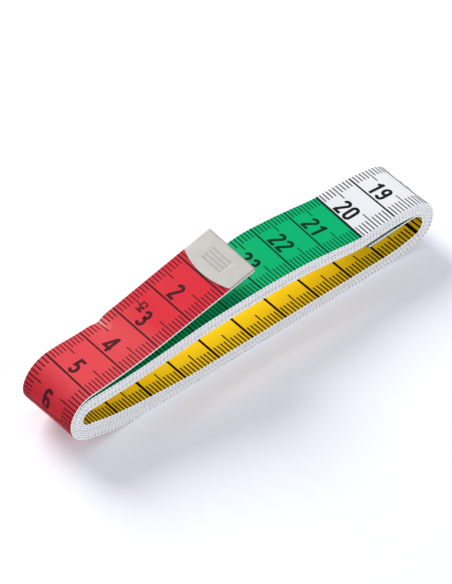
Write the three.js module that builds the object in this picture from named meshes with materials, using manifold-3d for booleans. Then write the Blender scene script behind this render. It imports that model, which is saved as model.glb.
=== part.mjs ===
// A tailor's tape measure: one laminated ribbon wound into a flat oblong coil, a metal clip on each end.
// Millimetres. +X runs along the coil, +Y across the tape and +Z up from the table that the coil lies on.
// The ribbon is three layers: a woven glass-fibre core between a printed front coat and a back coat.
import * as THREE from 'three';
import { mergeVertices } from 'three/addons/utils/BufferGeometryUtils.js';
import Module from 'manifold-3d';

const degrees = THREE.MathUtils.degToRad;

// Tape
const TAPE_LENGTH = 1500;
const TAPE_WIDTH = 16;
const CORE_THICKNESS = 0.11;
const FRONT_COAT_THICKNESS = 0.07;
const BACK_COAT_THICKNESS = 0.07;
const BOND_LINE = 0.02;

// Coil: how the tape lies when it is wound
const FULL_TURNS = 6;
const TURN_GAP = 0.42;
const RIGHT_BEND_RADIUS = 6.6;
const RIGHT_HEEL_RADIUS = 40;
const RIGHT_HEEL_TURN = degrees(15);
const RIGHT_SHOULDER_SLOPE = degrees(13);
const LEFT_BEND_RADIUS = 6.65;
const LEFT_HEEL_RADIUS = 50;
const LEFT_HEEL_TURN = degrees(20);
const LEFT_SHOULDER_SLOPE = degrees(3.5);
const DIP_HEIGHT = 14.5;
const DIP_FROM_RIGHT_END = 22;
const DIP_FULLNESS = 0.15;
const CREST_HEIGHT = 17.45;
const CREST_FROM_RIGHT_END = 54.5;
const CREST_FULLNESS = 0.6;
const SHOULDER_FULLNESS = 0.36;

// Free outer end, which lifts off the coil and stands up by its own stiffness
const FREE_END_STRAIGHT = 26.4;
const FREE_END_CURVE = 22;
const FREE_END_SLOPE = degrees(13.2);
const FLEX_LINES = 4;
const FLEX_SPACING = 10;
const FIRST_FLEX_FROM_COIL = 2;
const FLEX_SLIT = 0.3;

// Inner end, which leaves the last bend and sits inside the loop
const INNER_END_STRAIGHT = 14;
const INNER_END_DROP = 1.5;

// End clip: a folded metal plate crimped over the end of the tape
const CLIP_SHEET = 0.25;
const CLIP_CLEARANCE = 0.05;
const CLIP_EDGE_INSET = 0.3;
const CLIP_SIDE_LENGTH = 8;
const CLIP_MIDDLE_LENGTH = 9.7;
const CLIP_CORNER = 0.5;

// Facets of the curves
const BEND_STEPS = 10;
const HEEL_STEPS = 3;
const RUN_STEPS = 3;
const TOP_STEPS = 6;
const FREE_END_STEPS = 8;
const INNER_END_STEPS = 2;
const FOLD_STEPS = 6;
const CLIP_EDGE_STEPS = 16;

const TAPE_THICKNESS = CORE_THICKNESS + FRONT_COAT_THICKNESS + BACK_COAT_THICKNESS + 2 * BOND_LINE;
const TURN_PITCH = TAPE_THICKNESS + TURN_GAP;
const FIT_TOLERANCE = 1e-6;

// A pose is a point of the tape's middle line, with its heading in the XZ plane: the front face is on the
// right of it.
function poseAt(x, z, heading) {
  return { x, z, heading };
}

function distanceBetween(a, b) {
  return Math.hypot(b.x - a.x, b.z - a.z);
}

// A line of poses straight ahead from a pose, without the pose itself.
function lineFrom(start, length, steps) {
  const poses = [];
  for (let step = 1; step <= steps; step += 1) {
    const along = (length * step) / steps;
    const x = start.x + along * Math.cos(start.heading);
    const z = start.z + along * Math.sin(start.heading);
    poses.push(poseAt(x, z, start.heading));
  }
  return poses;
}

// The pose that an arc reaches from a pose: a positive radius turns left, a negative one right.
function arcEnd(start, radius, turn) {
  const heading = start.heading + turn;
  const x = start.x + radius * (Math.sin(heading) - Math.sin(start.heading));
  const z = start.z - radius * (Math.cos(heading) - Math.cos(start.heading));
  return poseAt(x, z, heading);
}

function arcFrom(start, radius, turn, steps) {
  const poses = [];
  for (let step = 1; step <= steps; step += 1) {
    poses.push(arcEnd(start, radius, (turn * step) / steps));
  }
  return poses;
}

// A smooth sweep between two poses. Its fullness at each end is the share of the span that keeps near the
// heading there.
function sweepBetween(start, end, startFullness, endFullness, steps) {
  const span = distanceBetween(start, end);
  const handle = (pose, length) => lineFrom(pose, length, 1)[0];
  const corners = [start, handle(start, startFullness * span), handle(end, -endFullness * span), end];
  const points = corners.map((corner) => new THREE.Vector2(corner.x, corner.z));
  const curve = new THREE.CubicBezierCurve(...points);
  const poses = [];
  for (let step = 1; step <= steps; step += 1) {
    const point = curve.getPoint(step / steps);
    const tangent = curve.getTangent(step / steps);
    poses.push(poseAt(point.x, point.y, Math.atan2(tangent.y, tangent.x)));
  }
  return poses;
}

// One closed turn of the coil for a given bottom run: the outline that every turn of the tape follows.
function turnOutline(bottomRun) {
  const bottomStart = poseAt(0, 0, 0);
  const bottom = lineFrom(bottomStart, bottomRun, RUN_STEPS);
  const rightHeel = arcFrom(bottom.at(-1), RIGHT_HEEL_RADIUS, RIGHT_HEEL_TURN, HEEL_STEPS);
  const rightBendTurn = Math.PI - RIGHT_SHOULDER_SLOPE - RIGHT_HEEL_TURN;
  const rightBend = arcFrom(rightHeel.at(-1), RIGHT_BEND_RADIUS, rightBendTurn, BEND_STEPS);
  const rightEnd = arcEnd(rightHeel.at(-1), RIGHT_BEND_RADIUS, Math.PI / 2 - RIGHT_HEEL_TURN).x;

  const leftHeelStart = arcEnd(bottomStart, LEFT_HEEL_RADIUS, -LEFT_HEEL_TURN);
  const leftBendTurn = Math.PI - LEFT_SHOULDER_SLOPE - LEFT_HEEL_TURN;
  const leftBendStart = arcEnd(leftHeelStart, LEFT_BEND_RADIUS, -leftBendTurn);
  const dip = poseAt(rightEnd - DIP_FROM_RIGHT_END, DIP_HEIGHT, Math.PI);
  const crest = poseAt(rightEnd - CREST_FROM_RIGHT_END, CREST_HEIGHT, Math.PI);
  const shoulder = sweepBetween(rightBend.at(-1), dip, SHOULDER_FULLNESS, SHOULDER_FULLNESS, TOP_STEPS);
  const rise = sweepBetween(dip, crest, DIP_FULLNESS, CREST_FULLNESS, TOP_STEPS);
  const fall = sweepBetween(crest, leftBendStart, SHOULDER_FULLNESS, SHOULDER_FULLNESS, TOP_STEPS);
  const leftBend = arcFrom(leftBendStart, LEFT_BEND_RADIUS, leftBendTurn, BEND_STEPS);
  const leftHeel = arcFrom(leftHeelStart, LEFT_HEEL_RADIUS, LEFT_HEEL_TURN, HEEL_STEPS);
  return {
    bottom: [bottomStart, ...bottom],
    rightSide: [...rightHeel, ...rightBend],
    top: [...shoulder, ...rise, ...fall],
    leftSide: [...leftBend, ...leftHeel],
    dip: shoulder.at(-1),
  };
}

// A pose moved towards the inside of the coil.
function inset(pose, distance) {
  const x = pose.x - distance * Math.sin(pose.heading);
  const z = pose.z + distance * Math.cos(pose.heading);
  return poseAt(x, z, pose.heading);
}

// The largest value between two limits for which a test holds.
function largestThat(holds, low, high) {
  let inside = low;
  let outside = high;
  while (outside - inside > FIT_TOLERANCE) {
    const middle = (inside + outside) / 2;
    if (holds(middle)) inside = middle;
    else outside = middle;
  }
  return inside;
}

// The whole tape from its free outer end to its inner end. Each turn lies one pitch inside the turn before:
// it steps in steadily along the bends and the top, and the bottom runs stay level.
function tapePath(bottomRun) {
  const outline = turnOutline(bottomRun);
  const climb = [outline.bottom.at(-1), ...outline.rightSide, ...outline.top, ...outline.leftSide];
  const climbed = [0];
  for (let i = 1; i < climb.length; i += 1) {
    climbed.push(climbed[i - 1] + distanceBetween(climb[i - 1], climb[i]));
  }
  const share = new Map(climb.map((pose, i) => [pose, climbed[i] / climbed.at(-1)]));
  const depth = (pose, turn) => TURN_PITCH * (turn + (share.get(pose) ?? 0));
  const placed = (poses, turn) => poses.map((pose) => inset(pose, depth(pose, turn)));

  const bendStart = placed([outline.top.at(-1)], -1)[0];
  const curveTurn = FREE_END_SLOPE - LEFT_SHOULDER_SLOPE;
  const curveRadius = FREE_END_CURVE / curveTurn;
  const curveStart = arcEnd(bendStart, -curveRadius, curveTurn);
  const tip = lineFrom(curveStart, -FREE_END_STRAIGHT, 1)[0];
  const poses = [tip];
  poses.push(...lineFrom(tip, FREE_END_STRAIGHT, 1));
  poses.push(...arcFrom(curveStart, -curveRadius, -curveTurn, FREE_END_STEPS));
  poses.push(...placed(outline.leftSide, -1));
  for (let turn = 0; turn < FULL_TURNS; turn += 1) {
    poses.push(...placed(outline.bottom.slice(1), turn));
    poses.push(...placed([...outline.rightSide, ...outline.top, ...outline.leftSide], turn));
  }
  poses.push(...placed(outline.bottom.slice(1), FULL_TURNS));
  poses.push(...placed(outline.rightSide, FULL_TURNS));
  const innerRadius = RIGHT_BEND_RADIUS - TURN_PITCH * (FULL_TURNS + share.get(outline.rightSide.at(-1)));
  const bendEnd = poses.at(-1);
  const tipHeight = placed([outline.dip], FULL_TURNS - 1)[0].z - INNER_END_DROP;
  const innerTip = (droop) => lineFrom(arcEnd(bendEnd, innerRadius, droop), INNER_END_STRAIGHT, 1)[0];
  const innerDroop = largestThat((droop) => innerTip(droop).z > tipHeight, 0, Math.PI / 2);
  poses.push(...arcFrom(bendEnd, innerRadius, innerDroop, INNER_END_STEPS));
  poses.push(...lineFrom(poses.at(-1), INNER_END_STRAIGHT, INNER_END_STEPS));

  let distance = 0;
  poses.forEach((pose, i) => {
    distance += i > 0 ? distanceBetween(poses[i - 1], pose) : 0;
    pose.distance = distance;
  });
  return poses;
}

// The bottom run is the one for which the wound tape has its full length.
const isShort = (bottomRun) => tapePath(bottomRun).at(-1).distance < TAPE_LENGTH;
const path = tapePath(largestThat(isShort, 0, TAPE_LENGTH));

// The pose at a distance along the tape from its free end.
function poseAlong(distance) {
  const after = path.findIndex((pose) => pose.distance >= distance);
  const b = path[after < 0 ? path.length - 1 : Math.max(after, 1)];
  const a = path[path.indexOf(b) - 1];
  const part = (distance - a.distance) / (b.distance - a.distance);
  const swing = Math.atan2(Math.sin(b.heading - a.heading), Math.cos(b.heading - a.heading));
  const pose = poseAt(a.x + part * (b.x - a.x), a.z + part * (b.z - a.z), a.heading + part * swing);
  pose.distance = distance;
  return pose;
}

// The poses of a stretch of tape, its two ends included.
function stretchPoses(from, to) {
  const inside = path.filter((pose) => pose.distance > from && pose.distance < to);
  return [poseAlong(from), ...inside, poseAlong(to)];
}

// The edge line of a stretch at a height over the middle line, towards the front face.
function edgeLine(poses, height) {
  return poses.map((pose) => {
    const moved = inset(pose, -height);
    return new THREE.Vector2(moved.x, moved.z);
  });
}

// A profile in the XZ plane becomes a solid of a given width, centred on the tape.
function extrudeAcross(shape, width, curveSegments) {
  const geometry = new THREE.ExtrudeGeometry(shape, { depth: width, bevelEnabled: false, curveSegments });
  geometry.rotateX(Math.PI / 2);
  geometry.translate(0, width / 2, 0);
  return geometry;
}

function layerSolid(poses, low, high) {
  const outline = [...edgeLine(poses, high), ...edgeLine(poses, low).reverse()];
  return extrudeAcross(new THREE.Shape(outline), TAPE_WIDTH, 1);
}

const wasm = await Module();
wasm.setup();

function toManifold(geometry) {
  const bare = geometry.clone();
  bare.deleteAttribute('normal');
  bare.deleteAttribute('uv');
  const merged = mergeVertices(bare);
  const vertProperties = Float32Array.from(merged.attributes.position.array);
  const triVerts = Uint32Array.from(merged.index.array);
  return new wasm.Manifold(new wasm.Mesh({ numProp: 3, vertProperties, triVerts }));
}

function toGeometry(solid) {
  const mesh = solid.getMesh();
  const geometry = new THREE.BufferGeometry();
  geometry.setAttribute('position', new THREE.BufferAttribute(Float32Array.from(mesh.vertProperties), 3));
  geometry.setIndex(new THREE.BufferAttribute(Uint32Array.from(mesh.triVerts), 1));
  geometry.computeVertexNormals();
  return geometry;
}

const CLIP_SLOT = TAPE_THICKNESS + 2 * CLIP_CLEARANCE;
const CLIP_THICKNESS = CLIP_SLOT + 2 * CLIP_SHEET;
const CLIP_WIDTH = TAPE_WIDTH - 2 * CLIP_EDGE_INSET;

// The clip from the side: a hairpin of sheet metal, folded at the tape's end, where x is zero.
function clipHairpin() {
  const outer = CLIP_THICKNESS / 2;
  const inner = CLIP_SLOT / 2;
  const shape = new THREE.Shape();
  shape.moveTo(CLIP_MIDDLE_LENGTH, outer);
  shape.lineTo(outer, outer);
  shape.absarc(outer, 0, outer, Math.PI / 2, (3 * Math.PI) / 2, false);
  shape.lineTo(CLIP_MIDDLE_LENGTH, -outer);
  shape.lineTo(CLIP_MIDDLE_LENGTH, -inner);
  shape.lineTo(outer, -inner);
  shape.absarc(outer, 0, inner, (3 * Math.PI) / 2, Math.PI / 2, true);
  shape.lineTo(CLIP_MIDDLE_LENGTH, inner);
  return extrudeAcross(shape, CLIP_WIDTH, FOLD_STEPS);
}

// The clip from above: corners rounded at the fold, and an inner edge that bows out along the tape.
function clipOutline() {
  const half = CLIP_WIDTH / 2;
  const bow = CLIP_MIDDLE_LENGTH - CLIP_SIDE_LENGTH;
  const bowRadius = (half * half + bow * bow) / (2 * bow);
  const bowAngle = Math.asin(half / bowRadius);
  const shape = new THREE.Shape();
  shape.moveTo(CLIP_CORNER, -half);
  shape.lineTo(CLIP_SIDE_LENGTH, -half);
  shape.absarc(CLIP_MIDDLE_LENGTH - bowRadius, 0, bowRadius, -bowAngle, bowAngle, false);
  shape.lineTo(CLIP_CORNER, half);
  shape.absarc(CLIP_CORNER, half - CLIP_CORNER, CLIP_CORNER, Math.PI / 2, Math.PI, false);
  shape.absarc(CLIP_CORNER, CLIP_CORNER - half, CLIP_CORNER, Math.PI, (3 * Math.PI) / 2, false);
  const depth = 2 * CLIP_THICKNESS;
  const options = { depth, bevelEnabled: false, curveSegments: CLIP_EDGE_STEPS };
  const geometry = new THREE.ExtrudeGeometry(shape, options);
  geometry.translate(0, 0, -depth / 2);
  return geometry;
}

const clipGeometry = toGeometry(toManifold(clipHairpin()).intersect(toManifold(clipOutline())));

// The stretches of tape between the lines where its ends bend.
const freeEndLength = FREE_END_STRAIGHT + FREE_END_CURVE;
const innerFlexLine = TAPE_LENGTH - INNER_END_STRAIGHT;
const tapeStart = CLIP_THICKNESS / 2;
const freeFlexLines = [];
for (let line = 0; line < FLEX_LINES; line += 1) {
  freeFlexLines.push(freeEndLength - FIRST_FLEX_FROM_COIL - line * FLEX_SPACING);
}
const stretches = [{ name: 'coil', from: freeFlexLines[0], to: innerFlexLine }];
freeFlexLines.forEach((flexLine, line) => {
  stretches.push({ name: `free_end_${line + 1}`, from: freeFlexLines[line + 1] ?? 0, to: flexLine });
});
stretches.push({ name: 'inner_end', from: innerFlexLine, to: TAPE_LENGTH });
for (const stretch of stretches) {
  stretch.from = stretch.from === 0 ? tapeStart : stretch.from + FLEX_SLIT / 2;
  stretch.to = stretch.to === TAPE_LENGTH ? TAPE_LENGTH - tapeStart : stretch.to - FLEX_SLIT / 2;
}

// Materials
const PVC_ROUGHNESS = 0.42;
const redPvc = new THREE.MeshStandardMaterial({ color: 0xe8434e, roughness: PVC_ROUGHNESS });
const greenPvc = new THREE.MeshStandardMaterial({ color: 0x00b877, roughness: PVC_ROUGHNESS });
const yellowPvc = new THREE.MeshStandardMaterial({ color: 0xeec414, roughness: PVC_ROUGHNESS });
const glassFibre = new THREE.MeshStandardMaterial({ color: 0xf2f1ec, roughness: 0.8 });
const clipMetal = new THREE.MeshStandardMaterial({ color: 0xcdcbc8, roughness: 0.3, metalness: 1 });

const coreFace = CORE_THICKNESS / 2;
const coatFace = coreFace + BOND_LINE;
const layers = [
  { name: 'front_coat', low: coatFace, high: coatFace + FRONT_COAT_THICKNESS },
  { name: 'glass_core', low: -coreFace, high: coreFace, material: glassFibre },
  { name: 'back_coat', low: -coatFace - BACK_COAT_THICKNESS, high: -coatFace, material: yellowPvc },
];

const tapeMeasure = new THREE.Group();

function addMesh(name, geometry, material) {
  const mesh = new THREE.Mesh(geometry, material);
  mesh.name = name;
  tapeMeasure.add(mesh);
  return mesh;
}

for (const stretch of stretches) {
  const poses = stretchPoses(stretch.from, stretch.to);
  for (const layer of layers) {
    const frontPvc = stretch.name === 'coil' ? greenPvc : redPvc;
    const geometry = layerSolid(poses, layer.low, layer.high);
    addMesh(`${stretch.name}_${layer.name}`, geometry, layer.material ?? frontPvc);
  }
}

// A clip over one end of the tape: its own x axis runs from the end into the tape.
function addClip(name, end, inwards) {
  const clip = addMesh(name, clipGeometry, clipMetal);
  clip.position.set(end.x, 0, end.z);
  clip.rotation.y = -inwards;
}

addClip('outer_end_clip', path[0], path[0].heading);
addClip('inner_end_clip', path.at(-1), path.at(-1).heading + Math.PI);

// The least gap that the tape keeps to itself, from the points of one face to the facets of the other.
function leastSelfGap() {
  const coil = stretches[0];
  const poses = stretchPoses(coil.from, coil.to);
  const front = edgeLine(poses, layers[0].high);
  const back = edgeLine(poses, layers[2].low);
  const sameBend = Math.PI * LEFT_BEND_RADIUS;
  const segment = new THREE.Line3();
  const nearest = new THREE.Vector3();
  const point = new THREE.Vector3();
  let least = Infinity;
  const measure = (points, facets) => points.forEach((from, i) => {
    point.set(from.x, from.y, 0);
    for (let j = 1; j < facets.length; j += 1) {
      const ahead = poses[j - 1].distance - poses[i].distance;
      const behind = poses[i].distance - poses[j].distance;
      if (Math.max(ahead, behind) < sameBend) continue;
      segment.start.set(facets[j - 1].x, facets[j - 1].y, 0);
      segment.end.set(facets[j].x, facets[j].y, 0);
      segment.closestPointToPoint(point, true, nearest);
      least = Math.min(least, nearest.distanceTo(point));
    }
  });
  measure(front, back);
  measure(back, front);
  return least;
}

// The part's origin is the middle of its footprint, on the table.
const box = new THREE.Box3().setFromObject(tapeMeasure);
const centre = box.getCenter(new THREE.Vector3());
tapeMeasure.position.set(-centre.x, -centre.y, -box.min.z);

// Where each end bends: the hinge lines run across the tape, along Y.
tapeMeasure.userData.flexLines = [...freeFlexLines, innerFlexLine].map((distance) => {
  const pose = poseAlong(distance);
  return { x: pose.x - centre.x, z: pose.z - box.min.z };
});

console.log(`least gap of the wound tape to itself: ${leastSelfGap().toFixed(3)} mm`);

export default tapeMeasure;
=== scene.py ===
# %% [markdown]
# # A tailor's tape measure, wound into a flat coil
#
# The object is one long printed ribbon with a metal clip on each end. It is made here the way the
# real one is: cut and printed flat, and then wound. The CAD model gives the frame that every piece
# keeps to. It is in metres, with +Z up and +X along the coil.

# %% Load the CAD frame
import math

import bpy
import numpy as np
from mathutils import Matrix, Vector


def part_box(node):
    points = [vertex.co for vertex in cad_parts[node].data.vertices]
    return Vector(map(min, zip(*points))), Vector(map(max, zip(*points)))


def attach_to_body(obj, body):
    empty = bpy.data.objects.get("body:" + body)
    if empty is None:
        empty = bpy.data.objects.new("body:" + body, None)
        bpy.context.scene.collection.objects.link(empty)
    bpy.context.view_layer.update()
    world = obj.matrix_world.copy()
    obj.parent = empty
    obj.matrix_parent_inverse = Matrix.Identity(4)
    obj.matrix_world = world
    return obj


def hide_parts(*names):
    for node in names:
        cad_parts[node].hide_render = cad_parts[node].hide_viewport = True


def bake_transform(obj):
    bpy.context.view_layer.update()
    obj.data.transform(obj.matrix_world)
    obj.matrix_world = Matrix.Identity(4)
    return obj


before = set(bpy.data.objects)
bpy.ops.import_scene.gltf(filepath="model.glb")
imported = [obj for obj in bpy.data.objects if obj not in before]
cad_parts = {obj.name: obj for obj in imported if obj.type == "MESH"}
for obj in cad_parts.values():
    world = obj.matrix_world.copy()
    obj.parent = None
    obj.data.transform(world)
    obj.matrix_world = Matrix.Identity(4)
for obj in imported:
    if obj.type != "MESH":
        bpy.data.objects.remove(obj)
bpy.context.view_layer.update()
MM = 0.001

# %% [markdown]
# ## The camera
#
# A long lens far away flattens the picture, as in a product shot. The centimetre lines of the tape
# give the viewing angle: the direction that looks back at the camera is built from an azimuth and an
# elevation, and its two cross directions are the picture's right and up.

# %% Camera
IMAGE_WIDTH, IMAGE_HEIGHT = 452, 584
FOCAL_LENGTH_PIXELS = 4354
AZIMUTH, ELEVATION = math.radians(-40.17), math.radians(45.32)
DISTANCE = 1002.5 * MM
AIM_RIGHT, AIM_UP = -1.81 * MM, 7.92 * MM
SENSOR = 36
NEAREST, FARTHEST = 0.05, 20

back = Vector((
    math.sin(AZIMUTH) * math.cos(ELEVATION),
    -math.cos(AZIMUTH) * math.cos(ELEVATION),
    math.sin(ELEVATION),
))
right = Vector((math.cos(AZIMUTH), math.sin(AZIMUTH), 0))
up = back.cross(right)

camera = bpy.data.objects.new("camera", bpy.data.cameras.new("camera"))
camera.data.sensor_width = SENSOR
camera.data.lens = SENSOR * FOCAL_LENGTH_PIXELS / max(IMAGE_WIDTH, IMAGE_HEIGHT)
camera.data.clip_start, camera.data.clip_end = NEAREST, FARTHEST
camera.matrix_world = Matrix((right, up, back)).transposed().to_4x4()
camera.location = right * AIM_RIGHT + up * AIM_UP + back * DISTANCE
bpy.context.scene.collection.objects.link(camera)
bpy.context.scene.camera = camera
print("lens, mm:", round(camera.data.lens, 1))

# %% [markdown]
# ## The line that the tape follows
#
# Seen from the side the tape is a single line: a free end that lifts off, then six turns of a flat
# oblong that shrinks by one pitch a turn, then an inner end inside the loop. The line is written as
# poses, each a point with a heading, and joined from straights, arcs and smooth sweeps. These are the
# sizes of the CAD model, with more steps, because here the bends have to look round.

# %% Sizes of the wound tape
TAPE_LENGTH = 1500 * MM
TAPE_WIDTH = 16 * MM
CAD_THICKNESS = 0.29 * MM
FULL_TURNS = 6
TURN_PITCH = 0.71 * MM
RIGHT_BEND_RADIUS, LEFT_BEND_RADIUS = 6.6 * MM, 6.65 * MM
RIGHT_HEEL_RADIUS, LEFT_HEEL_RADIUS = 40 * MM, 50 * MM
RIGHT_HEEL_TURN, LEFT_HEEL_TURN = math.radians(15), math.radians(20)
RIGHT_SHOULDER_SLOPE, LEFT_SHOULDER_SLOPE = math.radians(13), math.radians(3.5)
DIP_HEIGHT, DIP_FROM_RIGHT_END, DIP_FULLNESS = 14.5 * MM, 22 * MM, 0.15
CREST_HEIGHT, CREST_FROM_RIGHT_END, CREST_FULLNESS = 17.45 * MM, 54.5 * MM, 0.6
SHOULDER_FULLNESS = 0.36
FREE_END_STRAIGHT, FREE_END_CURVE, FREE_END_SLOPE = 26.4 * MM, 22 * MM, math.radians(13.2)
INNER_END_STRAIGHT, INNER_END_DROP = 14 * MM, 1.5 * MM
STRAIGHT_STEPS, BEND_STEPS, HEEL_STEPS, SWEEP_STEPS = 24, 56, 16, 32
print("tape, mm:", round(TAPE_LENGTH / MM), "x", round(TAPE_WIDTH / MM), "turns:", FULL_TURNS)


# %% Straights, arcs and sweeps
def line_from(pose, length, steps):
    x, z, heading = pose
    along = [length * step / steps for step in range(1, steps + 1)]
    return [(x + a * math.cos(heading), z + a * math.sin(heading), heading) for a in along]


def arc_end(pose, radius, turn):
    x, z, heading = pose
    x += radius * (math.sin(heading + turn) - math.sin(heading))
    z -= radius * (math.cos(heading + turn) - math.cos(heading))
    return x, z, heading + turn


def arc_from(pose, radius, turn, steps):
    return [arc_end(pose, radius, turn * step / steps) for step in range(1, steps + 1)]


def sweep_between(start, end, start_fullness, end_fullness, steps):
    span = math.dist(start[:2], end[:2])
    corners = (start, line_from(start, start_fullness * span, 1)[0])
    corners += (line_from(end, -end_fullness * span, 1)[0], end)
    a, b, c, d = (np.array(corner[:2]) for corner in corners)
    poses = []
    for t in np.linspace(0, 1, steps + 1)[1:]:
        x, z = (1 - t) ** 3 * a + 3 * t * (1 - t) ** 2 * b + 3 * t * t * (1 - t) * c + t**3 * d
        dx, dz = (1 - t) ** 2 * (b - a) + 2 * t * (1 - t) * (c - b) + t * t * (d - c)
        poses.append((x, z, math.atan2(dz, dx)))
    return poses


def inset(pose, distance):
    x, z, heading = pose
    return x - distance * math.sin(heading), z + distance * math.cos(heading), heading


FIT_TOLERANCE = 1e-9


def largest_that(holds, low, high):
    while high - low > FIT_TOLERANCE:
        middle = (low + high) / 2
        low, high = (middle, high) if holds(middle) else (low, middle)
    return low


quarter = arc_end((0, 0, 0), RIGHT_BEND_RADIUS, math.pi / 2)
print("a quarter of the right bend ends at, mm:", [round(part / MM, 2) for part in quarter[:2]])


# %% One turn of the coil
def turn_outline(bottom_run):
    start = (0, 0, 0)
    bottom = line_from(start, bottom_run, STRAIGHT_STEPS)
    right_heel = arc_from(bottom[-1], RIGHT_HEEL_RADIUS, RIGHT_HEEL_TURN, HEEL_STEPS)
    right_turn = math.pi - RIGHT_SHOULDER_SLOPE - RIGHT_HEEL_TURN
    right_bend = arc_from(right_heel[-1], RIGHT_BEND_RADIUS, right_turn, BEND_STEPS)
    right_end = arc_end(right_heel[-1], RIGHT_BEND_RADIUS, math.pi / 2 - RIGHT_HEEL_TURN)[0]
    left_heel_start = arc_end(start, LEFT_HEEL_RADIUS, -LEFT_HEEL_TURN)
    left_turn = math.pi - LEFT_SHOULDER_SLOPE - LEFT_HEEL_TURN
    left_bend_start = arc_end(left_heel_start, LEFT_BEND_RADIUS, -left_turn)
    dip = (right_end - DIP_FROM_RIGHT_END, DIP_HEIGHT, math.pi)
    crest = (right_end - CREST_FROM_RIGHT_END, CREST_HEIGHT, math.pi)
    shoulder = sweep_between(
        right_bend[-1], dip, SHOULDER_FULLNESS, SHOULDER_FULLNESS, SWEEP_STEPS)
    rise = sweep_between(dip, crest, DIP_FULLNESS, CREST_FULLNESS, SWEEP_STEPS)
    fall = sweep_between(
        crest, left_bend_start, SHOULDER_FULLNESS, SHOULDER_FULLNESS, SWEEP_STEPS)
    left_bend = arc_from(left_bend_start, LEFT_BEND_RADIUS, left_turn, BEND_STEPS)
    left_heel = arc_from(left_heel_start, LEFT_HEEL_RADIUS, LEFT_HEEL_TURN, HEEL_STEPS)
    return bottom, right_heel + right_bend, shoulder, rise + fall, left_bend + left_heel


print("points in one turn:", sum(len(side) for side in turn_outline(0)))

# %% [markdown]
# The CAD solids keep a gap between the turns, because a wound solid may not touch itself. The turns
# of a real coil do touch. So the line is made twice, once as in CAD and once with tighter turns, and
# every point keeps the small shift from the first to the second. The top run also sags a little
# under the free end. Distances along the tape are still measured on the first line.

# %% How snug the turns lie
BOTTOM_SNUG, TOP_SNUG, BEND_SNUG = 0.69, 0.84, 0.73
LOOSE_TO, SNUG_FROM = -8 * MM, 17 * MM


def smooth_step(value, low, high):
    t = np.clip((value - low) / (high - low), 0, 1)
    return t * t * (3 - 2 * t)


def snugness(pose):
    """The share of the CAD pitch that the turns take at a pose on the bottom, the top or a bend."""
    x, z, heading = pose
    bottom = 1 - (1 - BOTTOM_SNUG) * smooth_step(x, LOOSE_TO, SNUG_FROM)
    run_share = bottom if math.cos(heading) > 0 else TOP_SNUG
    return run_share * math.cos(heading) ** 2 + BEND_SNUG * math.sin(heading) ** 2


drawn = [round(TURN_PITCH * share / MM, 2) for share in (BOTTOM_SNUG, TOP_SNUG, BEND_SNUG)]
print("pitch drawn at the bottom, at the top and in the bends, mm:", drawn)


# %% The whole tape
def tape_line(bottom_run, snug=lambda pose: 1):
    bottom, right_side, shoulder, top, left_side = turn_outline(bottom_run)
    climb = [bottom[-1], *right_side, *shoulder, *top, *left_side]
    climbed = np.cumsum([0] + [math.dist(a[:2], b[:2]) for a, b in zip(climb, climb[1:])])
    share = {pose: length / climbed[-1] for pose, length in zip(climb[1:], climbed[1:])}

    def placed(poses, turn):
        depths = [TURN_PITCH * (turn + share.get(pose, 0)) * snug(pose) for pose in poses]
        return [inset(pose, depth) for pose, depth in zip(poses, depths)]

    bend_start = placed([top[-1]], -1)[0]
    curve_turn = FREE_END_SLOPE - LEFT_SHOULDER_SLOPE
    curve_radius = FREE_END_CURVE / curve_turn
    curve_start = arc_end(bend_start, -curve_radius, curve_turn)
    tip = line_from(curve_start, -FREE_END_STRAIGHT, 1)[0]
    poses = [tip, *line_from(tip, FREE_END_STRAIGHT, STRAIGHT_STEPS)]
    poses += arc_from(curve_start, -curve_radius, -curve_turn, SWEEP_STEPS)
    poses += placed(left_side, -1)
    for turn in range(FULL_TURNS):
        poses += placed([*bottom, *right_side, *shoulder, *top, *left_side], turn)
    poses += placed([*bottom, *right_side], FULL_TURNS)
    inner_radius = RIGHT_BEND_RADIUS - TURN_PITCH * (FULL_TURNS + share[right_side[-1]])
    bend_end = poses[-1]
    tip_height = placed([shoulder[-1]], FULL_TURNS - 1)[0][1] - INNER_END_DROP

    def inner_tip(droop):
        return line_from(arc_end(bend_end, inner_radius, droop), INNER_END_STRAIGHT, 1)[0]

    droop = largest_that(lambda turn: inner_tip(turn)[1] > tip_height, 0, math.pi / 2)
    poses += arc_from(bend_end, inner_radius, droop, HEEL_STEPS)
    poses += line_from(poses[-1], INNER_END_STRAIGHT, STRAIGHT_STEPS)
    return poses


def length_of(poses):
    return sum(math.dist(a[:2], b[:2]) for a, b in zip(poses, poses[1:]))


bottom_run = largest_that(lambda run: length_of(tape_line(run)) < TAPE_LENGTH, 0, TAPE_LENGTH)
print("straight bottom run, mm:", round(bottom_run / MM, 2))

# %% The line in the CAD frame
SAG, SAG_AT, SAG_REACH, SAG_FROM_RUN = 1.0 * MM, -35 * MM, 24 * MM, 90 * MM

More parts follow.
